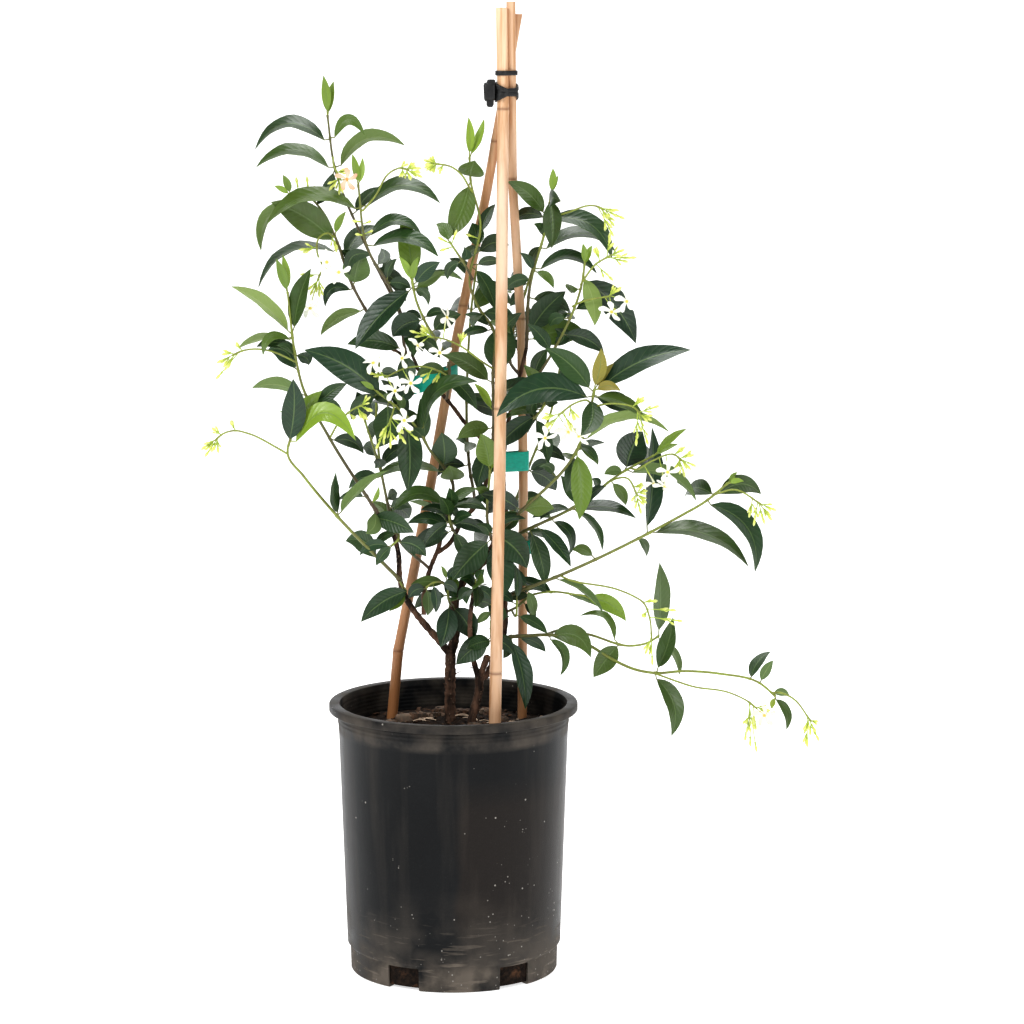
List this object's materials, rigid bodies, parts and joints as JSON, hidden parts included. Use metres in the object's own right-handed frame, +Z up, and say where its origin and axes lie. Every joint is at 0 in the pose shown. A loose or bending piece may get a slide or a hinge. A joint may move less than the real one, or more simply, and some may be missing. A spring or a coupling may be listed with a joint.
{
  "type": "potted star jasmine",
  "caption": "Young evergreen climber with glossy leaves, bud sprays and white pinwheel flowers, tied to a bamboo cane tripod in a black nursery pot filled with soil.",
  "frame": {"origin": "centre of the pot's flat foot, on the ground", "axes": "+Z up along the pot's axis, +X to the viewer's right, -Y towards the viewer, the side the picture shows"},
  "size_m": [0.6588, 0.2747, 1.0471],
  "materials": {
    "pot": "matte",
    "soil": "rough",
    "cane": "satin",
    "wood": "rough",
    "leaf": "gloss",
    "flower": "satin",
    "tie": "matte",
    "tape": "satin"
  },
  "bodies": {
    "root": {"cane_front": "cane", "cane_left": "cane", "cane_right": "cane", "pot": "pot", "shoot_back_crown": "leaf", "shoot_back_left": "leaf", "shoot_back_mid": "leaf", "shoot_back_right": "leaf", "shoot_base_front": "leaf", "shoot_base_mid": "leaf", "shoot_base_top": "leaf", "shoot_centre": "leaf", "shoot_crown_left": "leaf", "shoot_crown_left_2": "leaf", "shoot_crown_mid": "leaf", "shoot_crown_right": "leaf", "shoot_left_inner": "leaf", "shoot_left_low": "leaf", "shoot_left_mid": "leaf", "shoot_left_upper": "leaf", "shoot_mid_left": "leaf", "shoot_mid_low": "leaf", "shoot_right_2": "leaf", "shoot_right_front": "leaf", "shoot_right_inner": "leaf", "shoot_right_long": "leaf", "shoot_right_low": "leaf", "shoot_right_mid": "leaf", "shoot_right_thin": "leaf", "shoot_stalk": "leaf", "soil": "soil", "spray_centre": "flower", "spray_crown": "flower", "spray_crown_mid": "flower", "spray_crown_tip": "flower", "spray_front": "flower", "spray_inner": "flower", "spray_left": "flower", "spray_left_low": "flower", "spray_long": "flower", "spray_long_low": "flower", "spray_low": "flower", "spray_low_tip": "flower", "spray_mid": "flower", "spray_right_drop": "flower", "spray_right_hang": "flower", "spray_right_mid": "flower", "spray_right_top": "flower", "spray_right_white": "flower", "spray_side": "flower", "spray_upper": "flower", "spray_white": "flower", "tape_front": "tape", "tape_left": "tape", "tape_right": "tape", "tie_band": "tie", "tie_ring": "tie", "wood_left": "wood", "wood_right": "wood"}
  },
  "joints": []
}
